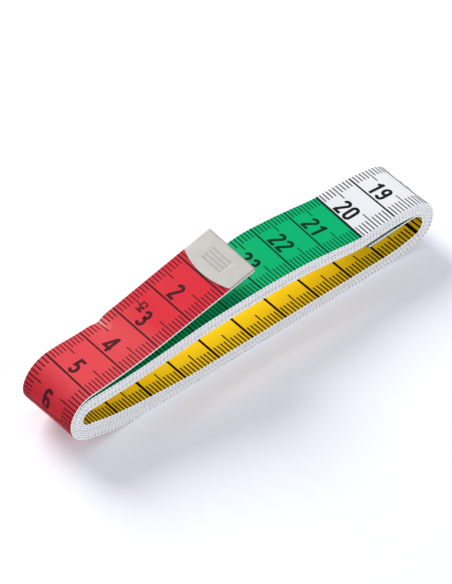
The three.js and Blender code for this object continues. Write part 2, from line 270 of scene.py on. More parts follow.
line = np.array(tape_line(bottom_run))
shift = np.array(tape_line(bottom_run, snugness)) - line
line_snugness = np.array([snugness(pose) for pose in line])
front_x = line[:, 0] + CAD_THICKNESS / 2 * np.sin(line[:, 2])
front_z = line[:, 1] - CAD_THICKNESS / 2 * np.cos(line[:, 2])
line[:, 0] -= (front_x.min() + front_x.max()) / 2
line[:, 1] -= front_z.min()
runs = np.concatenate([[0], np.cumsum(np.hypot(*np.diff(line[:, :2], axis=0).T))])
sag = np.maximum(0, 1 - ((line[:, 0] - SAG_AT) / SAG_REACH) ** 2) ** 2 * (runs > SAG_FROM_RUN)
shift[:, 1] -= SAG * sag * np.maximum(0, -np.cos(line[:, 2])) ** 2
coil_low, coil_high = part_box("coil_front_coat")
print("line, mm:", round(runs[-1] / MM, 3), "in", len(line), "points")
widths = np.ptp(front_x), coil_high.x - coil_low.x
print("coil here and in CAD, mm:", [round(width / MM, 3) for width in widths])

# %% [markdown]
# ## A way to write node trees as sums
#
# Node trees are drawn by hand in Blender's editor, but in a script long lists of links are hard to
# read. A small class that holds one output socket lets Python's own operators add the Math nodes, so
# that a rule in a material or a Geometry Nodes tree reads like arithmetic. One method makes any
# other node.


# %% Wires
class Wire:
    """An output socket of a node tree."""

    def __init__(self, tree, socket=None):
        self.tree = tree
        self.socket = socket

    def node(self, kind, settings=None, inputs=None, output=0):
        made = self.tree.nodes.new(kind)
        for name, value in (settings or {}).items():
            setattr(made, name, value)
        for key, value in (inputs or {}).items():
            for one in value if isinstance(value, list) else [value]:
                if isinstance(one, Wire):
                    self.tree.links.new(one.socket, made.inputs[key])
                else:
                    made.inputs[key].default_value = one
        return Wire(self.tree, made.outputs[output])

    def other(self, output):
        return Wire(self.tree, self.socket.node.outputs[output])

    def math(self, operation, *values):
        return self.node("ShaderNodeMath", {"operation": operation}, dict(enumerate(values)))

    def vector(self, operation, *values):
        inputs = dict(enumerate(values))
        if operation == "SCALE":
            inputs = {0: values[0], "Scale": values[1]}
        return self.node("ShaderNodeVectorMath", {"operation": operation}, inputs)

    def mix(self, factor, a, b):
        return self.node("ShaderNodeMix", {"data_type": "RGBA"}, {0: factor, 6: a, 7: b}, 2)

    def __add__(self, value):
        return self.math("ADD", self, value)

    def __radd__(self, value):
        return self.math("ADD", value, self)

    def __sub__(self, value):
        return self.math("SUBTRACT", self, value)

    def __rsub__(self, value):
        return self.math("SUBTRACT", value, self)

    def __mul__(self, value):
        return self.math("MULTIPLY", self, value)

    def __rmul__(self, value):
        return self.math("MULTIPLY", value, self)

    def __truediv__(self, value):
        return self.math("DIVIDE", self, value)

    def __rtruediv__(self, value):
        return self.math("DIVIDE", value, self)

    def __mod__(self, value):
        return self.math("FLOORED_MODULO", self, value)

    def __rmod__(self, value):
        return self.math("FLOORED_MODULO", value, self)

    def __lt__(self, value):
        return self.math("LESS_THAN", self, value)

    def __gt__(self, value):
        return self.math("GREATER_THAN", self, value)


def linear(hex_colour):
    """A colour as a screen shows it, turned into the linear light that shaders use."""
    parts = [int(hex_colour[i:i + 2], 16) / 255 for i in (1, 3, 5)]
    return (*(p / 12.92 if p <= 0.04045 else ((p + 0.055) / 1.055) ** 2.4 for p in parts), 1)


print("half grey on the screen is this much light:", round(linear("#808080")[0], 3))

# %% [markdown]
# ## Finishes
#
# The tape is a woven glass-fibre strip between two coats of soft PVC. The front is printed in bands
# of ten centimetres, red, white and green in turn, and the back is yellow. Each piece carries a map
# whose first coordinate is the distance along the tape and whose second is the place across it, so
# the bands, and the weave that shows faintly through the coat, stay with the tape round every bend.
# A painted picture could do the same, but rules stay sharp at any size. Noise on the piece's own
# coordinates makes the coat a little cloudy.

# %% Helpers for finishes
TAPE_MAP = "tape_map"


def new_material(name):
    material = bpy.data.materials.new(name)
    material.use_nodes = True
    tree = material.node_tree
    shader = next(node for node in tree.nodes if node.type == "BSDF_PRINCIPLED")
    return material, Wire(tree), shader


def plug(shader, **wires):
    for name, wire in wires.items():
        socket = shader.inputs[name.replace("_", " ")]
        if isinstance(wire, Wire):
            wire.tree.links.new(wire.socket, socket)
        else:
            socket.default_value = wire


def on_the_piece(nodes):
    return nodes.node("ShaderNodeTexCoord").other("Object")


def on_the_tape(nodes):
    return nodes.node("ShaderNodeUVMap", {"uv_map": TAPE_MAP})


def noise(nodes, place, scale, detail=2.0):
    return nodes.node(
        "ShaderNodeTexNoise", inputs={"Vector": place, "Scale": scale, "Detail": detail})


def bump(nodes, strength, depth, height):
    return nodes.node(
        "ShaderNodeBump", inputs={"Strength": strength, "Distance": depth, "Height": height})


def ramp(nodes, value, low, high, at_low, at_high):
    return nodes.node("ShaderNodeMapRange", {"interpolation_type": "SMOOTHSTEP"}, {
        "Value": value, "From Min": low, "From Max": high, "To Min": at_low, "To Max": at_high})


print("distance along and place across the tape are in the map:", TAPE_MAP)

# %% A soft PVC coat
CLOUDS, CLOUD_DETAIL, CLOUD_TINT, CLOUD_ROUGHNESS = 130.0, 3.0, 0.5, 0.1
GRAIN, GRAIN_TINT, GRAIN_ROUGHNESS = 2600.0, 0.2, 0.06
DEEPER = {"Saturation": 1.05, "Value": 0.9}
COAT_ROUGHNESS, COAT_SPECULAR = 0.4, 0.07
WEAVE = 0.62 * MM
COAT_BUMP, COAT_BUMP_DEPTH, WEAVE_SHARE, GRAIN_SHARE = 0.16, 0.05 * MM, 0.5, 0.8


def pvc_coat(name, colour_at):
    """A soft coat. colour_at is given the distance along the tape, and answers with its colour."""
    material, nodes, shader = new_material(name)
    along = nodes.node("ShaderNodeSeparateXYZ", inputs={0: on_the_tape(nodes)})
    across = along.other("Y")
    position = on_the_piece(nodes)
    cloudy = noise(nodes, position, CLOUDS, CLOUD_DETAIL)
    grain = noise(nodes, position, GRAIN)
    colour = colour_at(nodes, along)
    deeper = nodes.node("ShaderNodeHueSaturation", inputs={"Color": colour, **DEEPER})
    plug(shader, Base_Color=nodes.mix(cloudy * CLOUD_TINT + grain * GRAIN_TINT, colour, deeper))
    plug(shader, Roughness=COAT_ROUGHNESS + cloudy * CLOUD_ROUGHNESS + grain * GRAIN_ROUGHNESS)
    threads = nodes.math("SINE", along * (2 * math.pi / WEAVE))
    threads = threads * nodes.math("SINE", across * (2 * math.pi / WEAVE))
    height = threads * WEAVE_SHARE + grain * GRAIN_SHARE
    plug(shader, Normal=bump(nodes, COAT_BUMP, COAT_BUMP_DEPTH, height))
    plug(shader, Specular_IOR_Level=COAT_SPECULAR)
    return material


YELLOW, WORN_YELLOW, WEAR = "#FADA1C", "#FBD512", 40.0


def plain_yellow(nodes, along):
    worn = nodes.node("ShaderNodeTexNoise", {"noise_dimensions": "1D"}, {"W": along, "Scale": WEAR})
    return nodes.mix(worn, linear(YELLOW), linear(WORN_YELLOW))


back_coat = pvc_coat("yellow back coat", plain_yellow)
print("back:", back_coat.name)

# %% [markdown]
# On the front, the distance divided by ten centimetres and rounded down says which band a point is
# in. The stretch that lifts off the coil is mixed with a paler red, a painted sheen of the lamp on
# it. Along the crease at its far edge a nearly white streak, in patches, is a painted highlight.

# %% The printed front coat
BAND = 100 * MM
BANDS = ("#E73A45", "#F2F1EF", "#00B76F")
# painted sheen: a paler red on the lifted stretch, where the lamp's sheen lies
SHEEN_PINK, SHEEN_SHARE, SHEEN_AT, SHEEN_REACH = "#FB8783", 0.2, 41.5 * MM, 17 * MM
# painted highlight: a pale streak, in patches, along the crease at the far edge
CREASE_GLINT, GLINT_SHARE, GLINT_REACH, GLINT_LENGTH = "#FFCFC0", 0.75, 1.7 * MM, 5 * MM
GLINT_PATCHES = 900.0
CREASE_AT = 34.2 * MM


def banded(nodes, along, colours=BANDS):
    band = nodes.math("FLOOR", along / BAND) % len(colours)
    first, second, third = (linear(colour) for colour in colours)
    return nodes.mix(band > 1.5, nodes.mix(band > 0.5, first, second), third)


def printed_bands(nodes, along):
    # painted sheen on the lifted stretch of the free end, mixed into the band colour
    from_sheen = nodes.math("ABSOLUTE", along - SHEEN_AT)
    sheen = ramp(nodes, from_sheen, SHEEN_REACH / 2, SHEEN_REACH, SHEEN_SHARE, 0.0)
    colour = nodes.mix(sheen, banded(nodes, along), linear(SHEEN_PINK))
    # painted highlight along the crease, fading away from the far edge
    from_crease = nodes.math("ABSOLUTE", along - CREASE_AT)
    from_edge = along.other("Y") + TAPE_WIDTH / 2
    glint = ramp(nodes, from_crease, 0.0, GLINT_REACH, GLINT_SHARE, 0.0)
    glint = glint * ramp(nodes, from_edge, 0.0, GLINT_LENGTH, 1.0, 0.0)
    patchy = nodes.node("ShaderNodeTexNoise", {"noise_dimensions": "2D"}, {
        "Vector": on_the_tape(nodes), "Scale": GLINT_PATCHES})
    return nodes.mix(glint * patchy, colour, linear(CREASE_GLINT))


front_coat = pvc_coat("printed front coat", printed_bands)
print("front:", front_coat.name, "in", len(BANDS), "bands")

# %% [markdown]
# The cut edge shows the white core: glass threads that end in tiny pale dots, a little greyer
# between them. Voronoi cells are such dots. The bump lifts each of them a hair.

# %% The cut edge
THREAD_ENDS, END_REACH, END_SOFTNESS = 3400.0, 0.7, 0.2
CORE_WHITE, CORE_GREY = "#FFFFFC", "#F0EFEC"
EDGE_ROUGHNESS, BETWEEN_ROUGHNESS = 0.6, 0.15
EDGE_BUMP, EDGE_BUMP_DEPTH = 0.3, 0.03 * MM


def cut_edge_finish():
    material, nodes, shader = new_material("cut edge of the tape")
    threads = nodes.node(
        "ShaderNodeTexVoronoi", inputs={"Vector": on_the_piece(nodes), "Scale": THREAD_ENDS})
    between = nodes.math("SMOOTH_MIN", threads, END_REACH, END_SOFTNESS)
    plug(shader, Base_Color=nodes.mix(between, linear(CORE_WHITE), linear(CORE_GREY)))
    plug(shader, Roughness=EDGE_ROUGHNESS + between * BETWEEN_ROUGHNESS)
    plug(shader, Normal=bump(nodes, EDGE_BUMP, EDGE_BUMP_DEPTH, 1 - between))
    return material


cut_edge = cut_edge_finish()
print("edge:", cut_edge.name)

# %% [markdown]
# The ink is a thin film, almost matt. It is not quite opaque, so the coat under it tints it: its
# colour follows the same bands, and an attribute of the print says what is on the yellow back.

# %% Ink
INK_ON_BANDS = ("#60252A", "#1B1B1E", "#023E28")
INK_ON_YELLOW, INK_BLACK = "#200B02", "#0B0B0D"
ON_THE_BACK = "on_the_back"
INK_GRAIN, INK_GRAIN_TINT, INK_GRAIN_ROUGHNESS = 1800.0, 0.6, 0.16
INK_ROUGHNESS, INK_SPECULAR = 0.6, 0.06


def ink_finish():
    material, nodes, shader = new_material("black ink")
    grain = noise(nodes, on_the_piece(nodes), INK_GRAIN)
    along = nodes.node("ShaderNodeSeparateXYZ", inputs={0: on_the_tape(nodes)})
    behind = nodes.node("ShaderNodeAttribute", {"attribute_name": ON_THE_BACK}).other("Fac")
    colour = nodes.mix(behind, banded(nodes, along, INK_ON_BANDS), linear(INK_ON_YELLOW))
    plug(shader, Base_Color=nodes.mix(grain * INK_GRAIN_TINT, colour, linear(INK_BLACK)))
    plug(shader, Roughness=INK_ROUGHNESS + grain * INK_GRAIN_ROUGHNESS)
    plug(shader, Specular_IOR_Level=INK_SPECULAR)
    return material


ink = ink_finish()
print("print:", ink.name)

# %% [markdown]
# The clips are nickel-plated sheet, brushed along the tape. Noise that is stretched that way gives
# the fine lines, in the roughness and in the bump, and a second, even noise dulls it in places.

# %% Nickel
BRUSHING, BRUSHING_DETAIL, BRUSHING_ROUGHNESS = (500, 9000, 1), 4.0, 0.16
BRUSHING_BUMP, BRUSHING_BUMP_DEPTH = 0.12, 0.02 * MM
NICKEL, DULL_NICKEL = "#9B9A97", "#8F8E8B"
DULLING, DULLING_ROUGHNESS = 260.0, 0.05
NICKEL_METALLIC, NICKEL_ROUGHNESS = 0.75, 0.42


def nickel_finish():
    material, nodes, shader = new_material("brushed nickel")
    stretched = nodes.node(
        "ShaderNodeMapping", inputs={"Vector": on_the_tape(nodes), "Scale": BRUSHING})
    brushed = noise(nodes, stretched, 1.0, BRUSHING_DETAIL)
    dulled = noise(nodes, on_the_piece(nodes), DULLING)
    plug(shader, Base_Color=nodes.mix(dulled, linear(NICKEL), linear(DULL_NICKEL)))
    plug(shader, Metallic=NICKEL_METALLIC)
    plug(shader, Roughness=(
        NICKEL_ROUGHNESS + brushed * BRUSHING_ROUGHNESS + dulled * DULLING_ROUGHNESS))
    plug(shader, Normal=bump(nodes, BRUSHING_BUMP, BRUSHING_BUMP_DEPTH, brushed))
    return material


nickel = nickel_finish()
print("clips:", nickel.name)

# %% [markdown]
# ## Winding by Geometry Nodes
#
# Everything is laid out flat first: X is the distance along the tape, Y the place across it and Z
# the height over its middle line, with the front face up. One Geometry Nodes tree then moves every
# point of a flat mesh to its place on the wound line: it samples the line at that distance, takes
# the direction there, and builds the sideways and outward directions from it. Bending a model of
# the coil by hand would stretch the scale; this way it stays as it was printed.

# %% The line as a chain of edges
def attach(mesh, name, values):
    values = np.asarray(values, np.float32)
    kind, field = ("FLOAT", "value") if values.ndim == 1 else ("FLOAT_VECTOR", "vector")
    mesh.attributes.new(name, kind, "POINT").data.foreach_set(field, values.ravel())


def new_object(name, mesh):
    piece = bpy.data.objects.new(name, mesh)
    bpy.context.scene.collection.objects.link(piece)
    return piece


path_mesh = bpy.data.meshes.new("tape_line")
line_points = np.column_stack([line[:, 0], np.zeros(len(line)), line[:, 1]])
path_mesh.from_pydata(line_points, [(i, i + 1) for i in range(len(line) - 1)], [])
path_object = new_object("tape_line", path_mesh)
print("edges in the line:", len(path_mesh.edges))

# %% [markdown]
# Attributes of the line say what else the tape does at each point. No coil is wound quite square,
# so it creeps sideways by a few waves. It is drawn thicker in the coil than at its ends, and thinner
# where the turns are tighter. Its free end is twisted, and a crease dips the far edge. The outer
# turns are looser at that edge too: it flares outward at the left bend and on the top run.

# %% Creep and thickness
CREEPS = ((0.022 * MM, 0.31, 1.0), (0.014 * MM, 0.117, 2.4), (0.008 * MM, 0.047, 0.3))
CREEP_STARTS, CREEP_FULL = 0.05, 0.12
COIL_THICKNESS, END_THICKNESS = 0.67 * MM, 0.43 * MM
THICK_FROM, THICK_TO = 42 * MM, 70 * MM

creep = sum(size * np.sin(2 * np.pi * runs / wave + start) for size, wave, start in CREEPS)
creep *= smooth_step(runs, CREEP_STARTS, CREEP_FULL)
attach(path_mesh, "shift", np.column_stack([shift[:, 0], creep, shift[:, 1]]))
fullness = smooth_step(np.minimum(runs, TAPE_LENGTH - runs), THICK_FROM, THICK_TO)
fullness = (END_THICKNESS + (COIL_THICKNESS - END_THICKNESS) * fullness) / COIL_THICKNESS
attach(path_mesh, "tight", np.minimum(fullness, line_snugness))
print("sideways creep, mm:", round(np.ptp(creep) / MM, 2))

# %% Twist, crease and flare
TIP_TWIST, TWIST_FADES_AT = math.radians(3.4), 46 * MM
CREASE_SIZE, CREASE_DEPTH = 1.5 * MM, 0.85 * MM
LEFT_FLARE, LEFT_FLARE_RISES, LEFT_FLARE_TURNS = 0.92 * MM, (36 * MM, 46 * MM), (-0.2, 0.8)
TOP_FLARE, TOP_FLARE_RISES, TOP_FLARE_FALLS = 1.0 * MM, (0.5 * MM, 10 * MM), (33 * MM, 48 * MM)
FLARE_FULL_TO, FLARE_GONE_AT = 230 * MM, 900 * MM

attach(path_mesh, "twist", TIP_TWIST * (1 - smooth_step(runs, 0, TWIST_FADES_AT)))
crease_sizes = (runs - CREASE_AT) / CREASE_SIZE
attach(path_mesh, "crease", -CREASE_DEPTH * np.exp(-crease_sizes**2))
line_x, line_cosine = line[:, 0], np.cos(line[:, 2])
left_flare = smooth_step(-line_x, *LEFT_FLARE_RISES)
left_flare *= 1 - smooth_step(line_cosine, *LEFT_FLARE_TURNS)
top_flare = smooth_step(line_x, *TOP_FLARE_RISES) * (1 - smooth_step(line_x, *TOP_FLARE_FALLS))
top_flare *= np.maximum(0, -line_cosine) ** 2
flare = LEFT_FLARE * left_flare + TOP_FLARE * top_flare
flare *= 1 - smooth_step(runs, FLARE_FULL_TO, FLARE_GONE_AT)
attach(path_mesh, "flare", flare)
print("largest flare, mm:", round(flare.max() / MM, 2))

# %% [markdown]
# A tree needs named inputs, which the modifier on an object sets by their identifiers. What the
# modifiers make is then taken as a plain mesh, because a finished piece carries no live modifier.


# %% Trees, modifiers and plain meshes
def new_tree(name, **inputs):
    tree = bpy.data.node_groups.new(name, "GeometryNodeTree")
    for label, kind in inputs.items():
        tree.interface.new_socket(
            label.replace("_", " "), in_out="INPUT", socket_type=f"NodeSocket{kind}")
    tree.interface.new_socket("Geometry", in_out="OUTPUT", socket_type="NodeSocketGeometry")
    nodes = Wire(tree)
    given = nodes.node("NodeGroupInput")
    return tree, nodes, {label: given.other(label.replace("_", " ")) for label in inputs}


def end_tree(tree, geometry):
    tree.links.new(geometry.socket, tree.nodes.new("NodeGroupOutput").inputs[0])


def add_tree(piece, tree, **values):
    modifier = piece.modifiers.new(tree.name, "NODES")
    modifier.node_group = tree
    sockets = {item.name: item.identifier for item in tree.interface.items_tree}
    for label, value in values.items():
        modifier[sockets[label.replace("_", " ")]] = value


def plain_mesh(source, name):
    """What the modifiers of an object make, as a mesh of its own. The source is then removed."""
    bpy.context.view_layer.update()
    depsgraph = bpy.context.evaluated_depsgraph_get()
    mesh = bpy.data.meshes.new_from_object(source.evaluated_get(depsgraph), depsgraph=depsgraph)
    mesh.name = name
    old = source.data
    bpy.data.objects.remove(source)
    if old.users == 0:
        bpy.data.meshes.remove(old)
    return mesh


print("trees before the first one is built:", len(bpy.data.node_groups))

# %% [markdown]
# The outer turn of this line is a little longer than that of the real coil. So the tape is slid
# along it over three stretches, each with a start, an end and an amount, and every number stands
# where it does on the real coil. The tree also stores the flat place as the map that the finishes
# read, and marks what is on the back.

# %% The winding tree
FRONT_LEVEL = CAD_THICKNESS / 2
SLIPS = (
    (0, 50 * MM, -1.1 * MM),
    (60 * MM, 220 * MM, 2.55 * MM),
    (300 * MM, 1380 * MM, -1.45 * MM),
)
CREASE_TAPER = 3


def winding_tree():
    tree, nodes, given = new_tree("wind on the coil", Geometry="Geometry", Path="Object")
    chain = nodes.node("GeometryNodeObjectInfo", inputs={"Object": given["Path"]})
    curve = nodes.node("GeometryNodeMeshToCurve", inputs={"Mesh": chain.other("Geometry")})
    flat = nodes.node("GeometryNodeInputPosition")
    run = nodes.node("ShaderNodeSeparateXYZ", inputs={0: flat})
    across, height = run.other("Y"), run.other("Z")
    place_on_line = run
    for begin, finish, amount in SLIPS:
        place_on_line = place_on_line + nodes.node("ShaderNodeMapRange", inputs={
            "Value": run, "From Min": begin, "From Max": finish, "To Min": 0.0, "To Max": amount})

    def sample(name, kind="FLOAT"):
        named = nodes.node("GeometryNodeInputNamedAttribute", {"data_type": kind}, {"Name": name})
        return nodes.node("GeometryNodeSampleCurve", {"mode": "LENGTH", "data_type": kind}, {
            "Curves": curve, "Value": named, "Length": place_on_line})

    shifted, tight = sample("shift", "FLOAT_VECTOR"), sample("tight")
    twist, crease = sample("twist"), sample("crease")
    far_edge = nodes.math("MAXIMUM", across / (-TAPE_WIDTH / 2), 0)
    height = FRONT_LEVEL + (height - FRONT_LEVEL) * tight
    height = height + crease * nodes.math("POWER", far_edge, CREASE_TAPER)
    height = height + sample("flare") * (0.5 - across / TAPE_WIDTH)
    along = nodes.vector("NORMALIZE", twist.other("Tangent"))
    outward = nodes.vector("CROSS_PRODUCT", (0, 1, 0), along)
    sine, cosine = nodes.math("SINE", twist), nodes.math("COSINE", twist)
    over = height * cosine - across * sine
    beside = across * cosine + height * sine
    place = nodes.vector("ADD", twist.other("Position"), nodes.vector("SCALE", outward, over))
    aside = nodes.node("ShaderNodeCombineXYZ", inputs={"Y": beside * -1})
    place = nodes.vector("ADD", nodes.vector("ADD", place, shifted), aside)
    mapped = nodes.node(
        "GeometryNodeStoreNamedAttribute", {"data_type": "FLOAT2", "domain": "CORNER"},
        {"Geometry": given["Geometry"], "Name": TAPE_MAP, "Value": flat})
    behind = run.other("Z") < FRONT_LEVEL - COIL_THICKNESS / 2
    marked = nodes.node(
        "GeometryNodeStoreNamedAttribute", {"data_type": "FLOAT", "domain": "POINT"},
        {"Geometry": mapped, "Name": ON_THE_BACK, "Value": behind})
    wound = nodes.node("GeometryNodeSetPosition", inputs={"Geometry": marked, "Position": place})
    end_tree(tree, wound)
    return tree


WIND = winding_tree()
print("winding tree:", len(WIND.nodes), "nodes")

# %% [markdown]
# ## The ribbon
#
# The ribbon follows a rule, so Geometry Nodes cut it too: a grid for the front face, extruded down
# for the back and the two edges. In the coil it is drawn a little thicker than at its two ends, so
# that the turns lie snug on each other as they do on the real coil.

# %% A length of flat tape
ROW = 0.4 * MM
SAME_POINT = 1e-7


def ribbon_tree():
    tree, nodes, given = new_tree(
        "cut a length of tape", From="Float", To="Float", Width="Float", Rows="Int",
        Front="Material", Back="Material", Edge="Material")
    length = given["To"] - given["From"]
    grid = nodes.node("GeometryNodeMeshGrid", inputs={
        "Size X": length, "Size Y": given["Width"],
        "Vertices X": nodes.math("CEIL", length / ROW) + 1, "Vertices Y": given["Rows"]})
    middle = (given["From"] + given["To"]) / 2
    moved = nodes.node("ShaderNodeCombineXYZ", inputs={"X": middle, "Z": FRONT_LEVEL})
    face = nodes.node("GeometryNodeTransform", inputs={"Geometry": grid, "Translation": moved})
    pressed = nodes.node("GeometryNodeExtrudeMesh", {"mode": "FACES"}, {
        "Mesh": face, "Offset Scale": -COIL_THICKNESS, "Individual": False})
    shell = nodes.node("GeometryNodeFlipFaces", inputs={"Mesh": pressed})
    joined = nodes.node("GeometryNodeJoinGeometry", inputs={"Geometry": [face, shell]})
    closed = nodes.node(
        "GeometryNodeMergeByDistance", inputs={"Geometry": joined, "Distance": SAME_POINT})
    real = nodes.node("GeometryNodeRealizeInstances", inputs={"Geometry": closed})
    faces = {"Front": True, "Back": pressed.other("Top"), "Edge": pressed.other("Side")}
    for label, where in faces.items():
        real = nodes.node("GeometryNodeSetMaterial", inputs={
            "Geometry": real, "Selection": where, "Material": given[label]})
    end_tree(tree, real)
    return tree


RIBBON = ribbon_tree()
print("ribbon tree:", len(RIBBON.nodes), "nodes")

# %% Cutting a length and winding it
COIL_ROWS, END_ROWS = 7, 25
SHARP = math.radians(40)


def smooth_shaded(mesh):
    mesh.shade_smooth()
    mesh.set_sharp_from_angle(angle=SHARP)
    return mesh


def cut_tape(name, start, end):
    source = new_object(name + "_flat", bpy.data.meshes.new(name + "_flat"))
    add_tree(source, RIBBON, From=start, To=end, Width=TAPE_WIDTH, Front=front_coat,
             Back=back_coat, Edge=cut_edge, Rows=COIL_ROWS if name == "tape_coil" else END_ROWS)
    add_tree(source, WIND, Path=path_object)
    return new_object(name, smooth_shaded(plain_mesh(source, name)))


print("rows of points across the coil and the ends:", COIL_ROWS, END_ROWS)

# %% [markdown]
# ## The scale
#
# Both faces carry a scale in millimetres: a short mark from each edge at every millimetre, a longer
# one at every fifth, a line right across at every centimetre and a heavier one where the colour
# changes. They repeat along a path, which is what instances are for: a unit cube is set on a point
# for each millimetre, and scaled by its number. The ink runs a hair over the edge, so that every
# mark shows as a dark speck on the side of the coil. The tree joins the marks to the mesh that it is
# given, which will be the numbers.

# %% Marks of the scale
FRONT_MARK, FRONT_LINE, BACK_MARK, BACK_LINE, BAND_LINE = (
    0.29 * MM, 0.48 * MM, 0.35 * MM, 0.64 * MM, 0.74 * MM)
FAR_SHORT, FAR_LONG, NEAR_SHORT, NEAR_LONG = 0.16, 0.27, 0.205, 0.325
INK_FILM, INK_DEPTH, INK_LIP = 0.016 * MM, 0.085 * MM, 0.008 * MM
CENTIMETRE = 10


def scale_tree():
    tree, nodes, given = new_tree(
        "print a scale", Geometry="Geometry", First="Int", Count="Int", Mark="Float", Line="Float",
        Rows="Int", On_the_back="Float", Width="Float", Ink="Material")
    number = nodes.node("GeometryNodeInputIndex") + given["First"]
    run = number * MM
    front = FRONT_LEVEL + INK_FILM - INK_DEPTH / 2
    rear = FRONT_LEVEL - COIL_THICKNESS - INK_FILM + INK_DEPTH / 2
    level = front + (rear - front) * given["On_the_back"]
    centimetre = (number % CENTIMETRE) < 0.5
    half = nodes.math("ABSOLUTE", number % CENTIMETRE - CENTIMETRE / 2) < 0.5
    band = (number % round(BAND / MM)) < 0.5
    thick = given["Mark"] + centimetre * (given["Line"] - given["Mark"])
    thick = thick + band * (BAND_LINE - given["Line"])
    cube = nodes.node(
        "GeometryNodeMeshCube", inputs={"Size": (1, 1, 1), "Vertices Y": given["Rows"]})
    printed = [given["Geometry"]]
    for side, short, long in ((-1, FAR_SHORT, FAR_LONG), (1, NEAR_SHORT, NEAR_LONG)):
        reach = given["Width"] * (short + half * (long - short)) + INK_LIP
        whole = given["Width"] + 2 * INK_LIP
        reach = reach * (1 - centimetre) + whole * centimetre
        across = (given["Width"] / 2 + INK_LIP - reach / 2) * side
        place = nodes.node("ShaderNodeCombineXYZ", inputs={"X": run, "Y": across, "Z": level})
        size = nodes.node("ShaderNodeCombineXYZ", inputs={"X": thick, "Y": reach, "Z": INK_DEPTH})
        spots = nodes.node("GeometryNodePoints", inputs={"Count": given["Count"], "Position": place})
        printed.append(nodes.node("GeometryNodeInstanceOnPoints", inputs={
            "Points": spots, "Instance": cube, "Scale": size,
            "Selection": (1 - centimetre) if side < 0 else True}))
    joined = nodes.node("GeometryNodeJoinGeometry", inputs={"Geometry": printed})
    real = nodes.node("GeometryNodeRealizeInstances", inputs={"Geometry": joined})
    inked = nodes.node(
        "GeometryNodeSetMaterial", inputs={"Geometry": real, "Material": given["Ink"]})
    end_tree(tree, inked)
    return tree


SCALE = scale_tree()
print("scale tree:", len(SCALE.nodes), "nodes")

# %% Both scales on one length
COIL_MARK_ROWS, END_MARK_ROWS = 2, 9


def add_scales(source, start, end):
    first, last = (max(1, math.ceil(round(run / MM, 3))) for run in (start, end))
    rows = COIL_MARK_ROWS if source.name.startswith("print_coil") else END_MARK_ROWS
    for on_the_back, mark, whole in ((0.0, FRONT_MARK, FRONT_LINE), (1.0, BACK_MARK, BACK_LINE)):
        add_tree(source, SCALE, First=first, Count=last - first, Mark=mark, Line=whole, Rows=rows,
                 On_the_back=on_the_back, Width=TAPE_WIDTH, Ink=ink)


print("marks, mm:", round(FRONT_MARK / MM, 2), "in front and", round(BACK_MARK / MM, 2), "behind")

# %% [markdown]
# ## The numbers
#
# The figures are narrow and bold, in the plain style of drawing-office lettering. Each is drawn as
# strokes along a middle line of straights and arcs, one unit high, and every stroke becomes a thin
# bar of ink. A font would need a file, and strokes bend well round the coil.

# %% Figures as strokes
FIGURE_WIDTH = 0.5
ARC_STEP, FEWEST_STEPS = 24, 4


def arc(cx, cy, rx, ry, start, end):
    steps = max(FEWEST_STEPS, int(abs(end - start) / ARC_STEP))
    angles = np.radians(np.linspace(start, end, steps + 1))
    return [(cx + rx * math.cos(a), cy + ry * math.sin(a)) for a in angles]


LEFT, MIDDLE, TOP, BASE = 0.085, 0.25, 0.92, 0.08
BOWL, LOW_BOWL, HIGH_BOWL = 0.165, 0.225, 0.2
six = [
    arc(MIDDLE, BASE + LOW_BOWL, BOWL, LOW_BOWL, 180, 540),
    [(LEFT, BASE + LOW_BOWL), *arc(MIDDLE, TOP - BOWL, BOWL, BOWL, 180, 18)],
]
three = arc(MIDDLE, TOP - HIGH_BOWL, BOWL - 0.01, HIGH_BOWL, 168, -90)
three += arc(MIDDLE, BASE + LOW_BOWL, BOWL, LOW_BOWL, 90, -155)
five = [(0.42, TOP), (0.115, TOP), (0.1, 0.52), *arc(MIDDLE, 0.325, BOWL, 0.245, 118, -155)]
nought = arc(MIDDLE, TOP - BOWL, BOWL, BOWL, 0, 180)
nought += arc(MIDDLE, BASE + BOWL, BOWL, BOWL, 180, 360)
two = [*arc(MIDDLE, TOP - BOWL, BOWL, BOWL, 178, -22), (0.1, 0.16), (0.09, BASE), (0.45, BASE)]
FIGURES = {
    "0": [[*nought, nought[0]]],
    "1": [[(0.32, 0), (0.32, 1)], [(0.32, 0.92), (0.1, 0.74)]],
    "2": [two],
    "3": [three],
    "4": [[(0.37, 0), (0.37, 1)], [(0.33, 0.95), (0.03, 0.26), (0.51, 0.26)]],
    "5": [five],
    "6": six,
    "7": [[(0.05, TOP), (0.42, TOP), (0.4, 0.84), (0.18, 0)]],
    "8": [arc(MIDDLE, TOP - HIGH_BOWL, BOWL - 0.01, HIGH_BOWL, 90, 450),
          arc(MIDDLE, BASE + LOW_BOWL, BOWL, LOW_BOWL, 90, 450)],
    "9": [[(FIGURE_WIDTH - x, 1 - y) for x, y in stroke] for stroke in six],
    "C": [arc(0.3, 0.64, 0.22, 0.28, 18, 180) + arc(0.3, 0.36, 0.22, 0.28, 180, 342)],
    "M": [[(0.1, 0), (0.1, 1)], [(0.1, 0.94), (0.42, 0.3), (0.74, 0.94)], [(0.74, 0), (0.74, 1)]],
}
print("figures:", " ".join(FIGURES))

# %% Strokes as bars of ink
STROKE, STROKE_STEP, ROUNDING = 0.17, 0.11, 1e-6
MITRE_LIMIT = 0.55


def even_points(stroke):
    points = [np.array(stroke[0])]
    for corner in stroke[1:]:
        start = points[-1]
        step = np.array(corner) - start
        parts = math.ceil(np.hypot(*step) / STROKE_STEP - ROUNDING)
        points += [start + step * part / parts for part in range(1, parts + 1)]
    return np.array(points)


